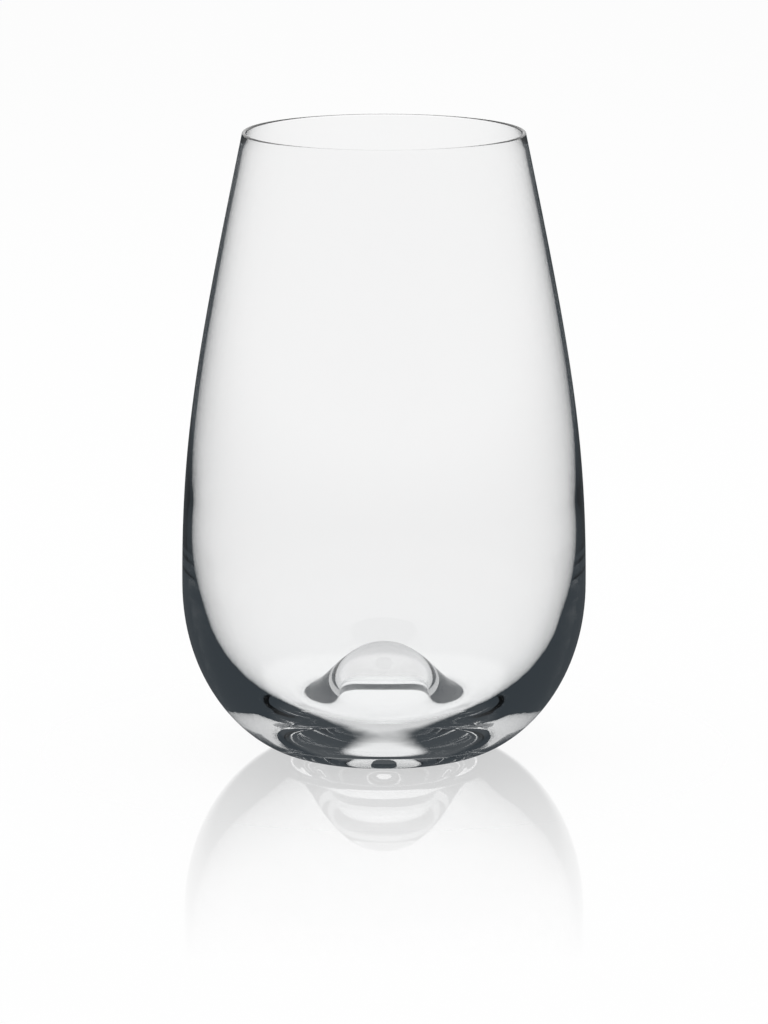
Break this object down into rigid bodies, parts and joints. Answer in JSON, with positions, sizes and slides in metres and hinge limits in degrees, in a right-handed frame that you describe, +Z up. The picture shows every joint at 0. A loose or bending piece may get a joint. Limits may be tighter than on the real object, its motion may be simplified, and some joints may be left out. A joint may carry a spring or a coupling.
{
  "type": "highball glass",
  "caption": "Stemless highball drinking glass of clear blown glass, belly low down, tapering to a thin rim, with a heavy round heel and a domed punt.",
  "frame": {"origin": "centre of the resting ring, on the table", "axes": "+Z up along the axis of the glass, towards the rim; X and Y are alike because the glass is round"},
  "size_m": [0.0848, 0.0848, 0.131],
  "materials": {
    "clear_glass": "polished, colourless"
  },
  "bodies": {
    "root": {"rim": "clear_glass", "tapered_wall": "clear_glass", "belly_wall": "clear_glass", "heel": "clear_glass", "punt": "clear_glass"}
  },
  "joints": []
}
